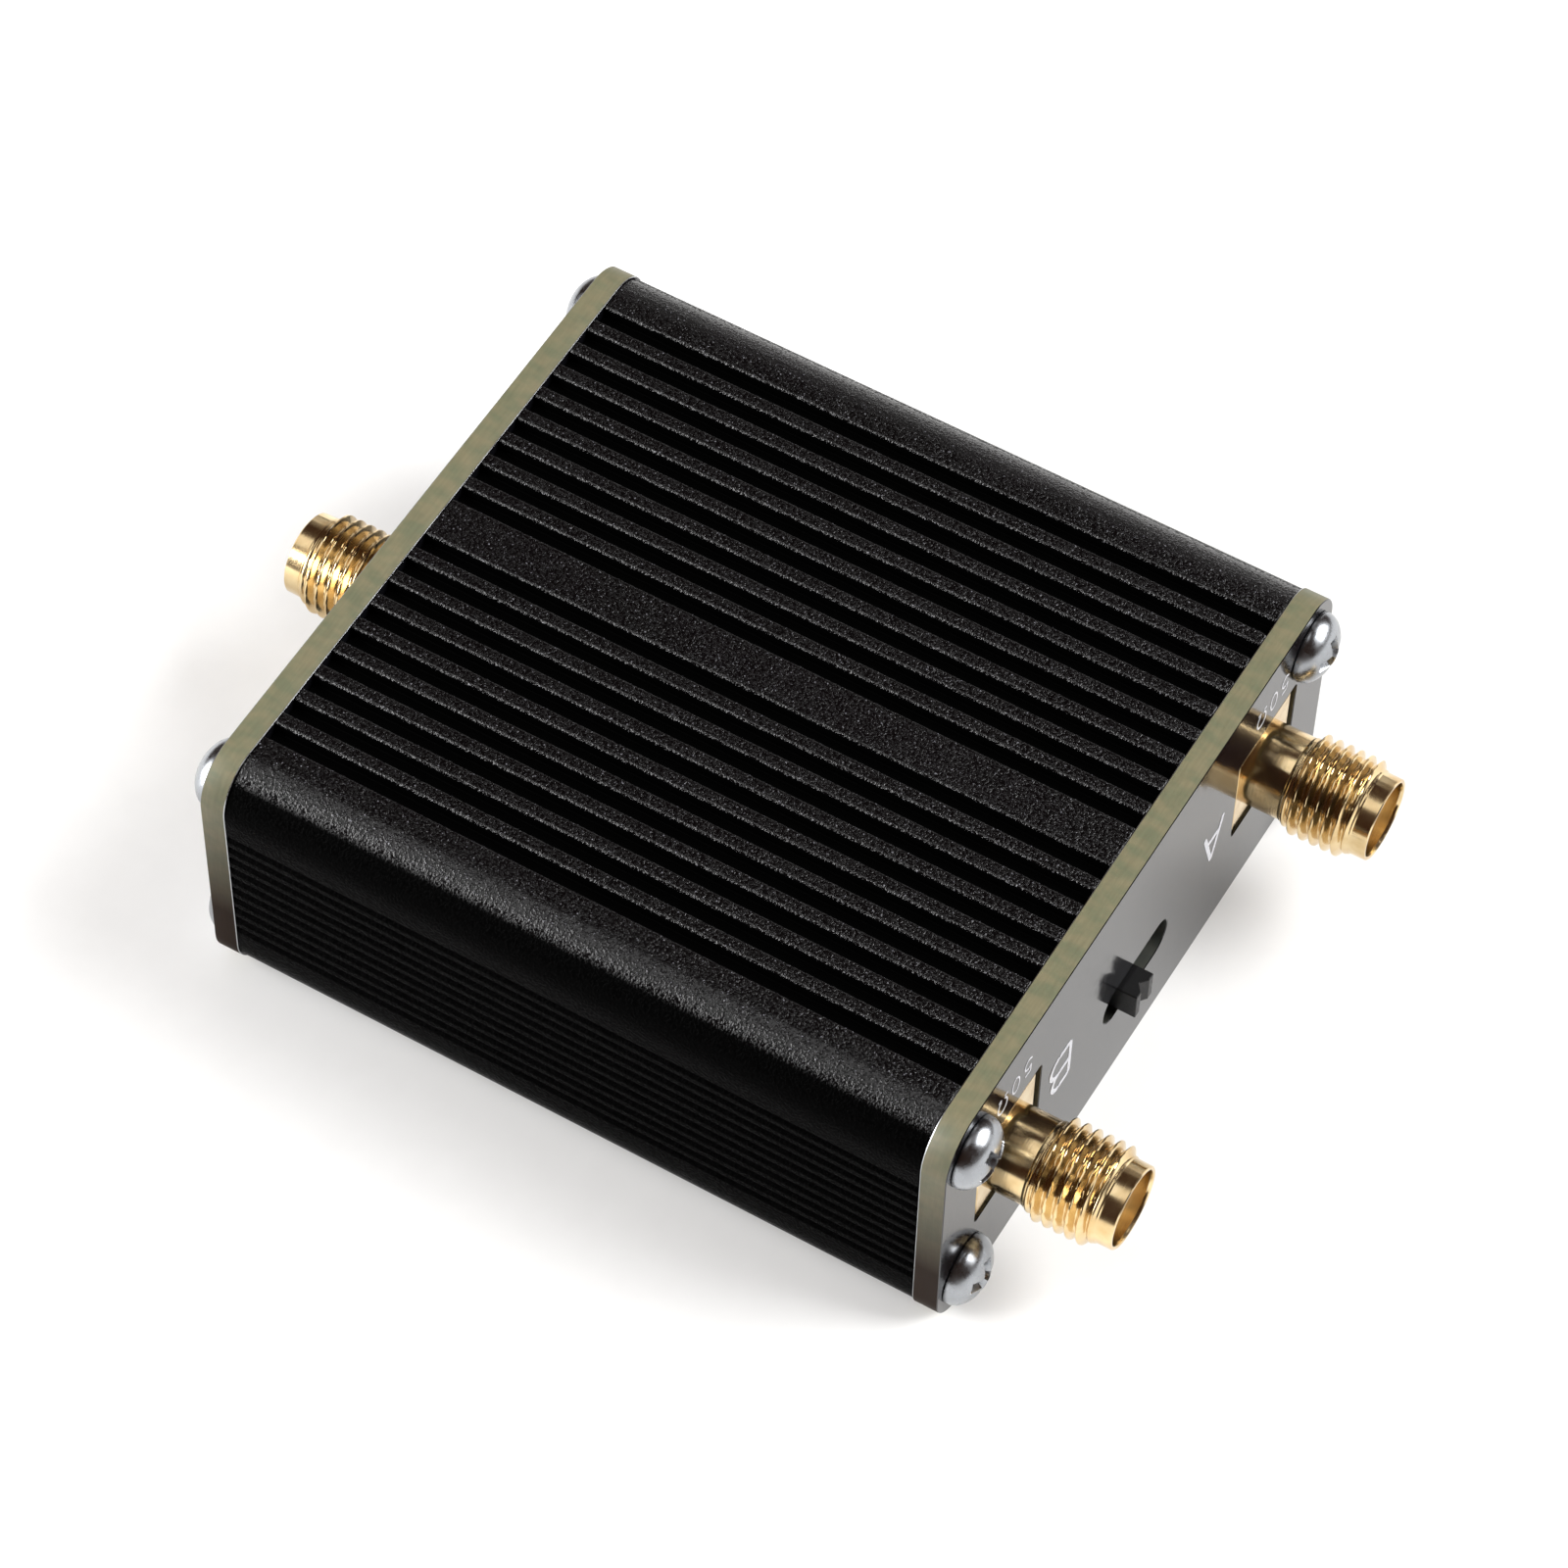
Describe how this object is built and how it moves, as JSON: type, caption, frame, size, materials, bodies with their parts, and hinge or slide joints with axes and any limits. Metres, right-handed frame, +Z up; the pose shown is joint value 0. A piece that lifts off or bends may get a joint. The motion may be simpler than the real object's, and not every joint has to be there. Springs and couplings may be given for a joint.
{
  "type": "coaxial antenna switch",
  "caption": "Small finned aluminium box that switches one coaxial port between two others with a slide knob on its front plate.",
  "frame": {"origin": "middle of the case's underside, half way along the extrusion", "axes": "+Y out of the rear plate with the single common port, -Y out of the front plate with ports A and B and the slide switch, +Z up with the lettering upside down, +X towards port A"},
  "size_m": [0.045, 0.0633, 0.0185],
  "materials": {
    "case_black": "fine blasted black anodised aluminium",
    "plate_laminate": "glossy black solder mask on glass-epoxy board",
    "board_laminate": "black solder mask on glass-epoxy board",
    "gold_plate": "polished gold plating on brass",
    "contact_plate": "gold plating",
    "ptfe": "white moulded plastic",
    "screw_nickel": "bright nickel plating",
    "tinned_steel": "tinned sheet steel",
    "phenolic": "brown phenolic board",
    "knob_plastic": "moulded black plastic"
  },
  "bodies": {
    "case": {"case_extrusion": "case_black", "front_plate": "plate_laminate", "rear_plate": "plate_laminate", "main_board": "board_laminate", "switch_frame": "tinned_steel", "switch_base": "phenolic", "screw_front_left_low": "screw_nickel", "screw_front_left_high": "screw_nickel", "screw_front_right_low": "screw_nickel", "screw_front_right_high": "screw_nickel", "screw_rear_left_low": "screw_nickel", "screw_rear_left_high": "screw_nickel", "screw_rear_right_low": "screw_nickel", "screw_rear_right_high": "screw_nickel", "sma_a_shell": "gold_plate", "sma_a_insulator": "ptfe", "sma_a_contact": "contact_plate", "sma_b_shell": "gold_plate", "sma_b_insulator": "ptfe", "sma_b_contact": "contact_plate", "sma_common_shell": "gold_plate", "sma_common_insulator": "ptfe", "sma_common_contact": "contact_plate", "switch_terminal_b": "tinned_steel", "switch_terminal_common": "tinned_steel", "switch_terminal_a": "tinned_steel"},
    "slider": {"switch_knob": "knob_plastic", "switch_wiper": "contact_plate"}
  },
  "joints": [
    {"name": "switch_slide", "type": "slide", "parent": "case", "child": "slider", "axis": [1, 0, 0], "range_m": [0, 0.0023]}
  ]
}
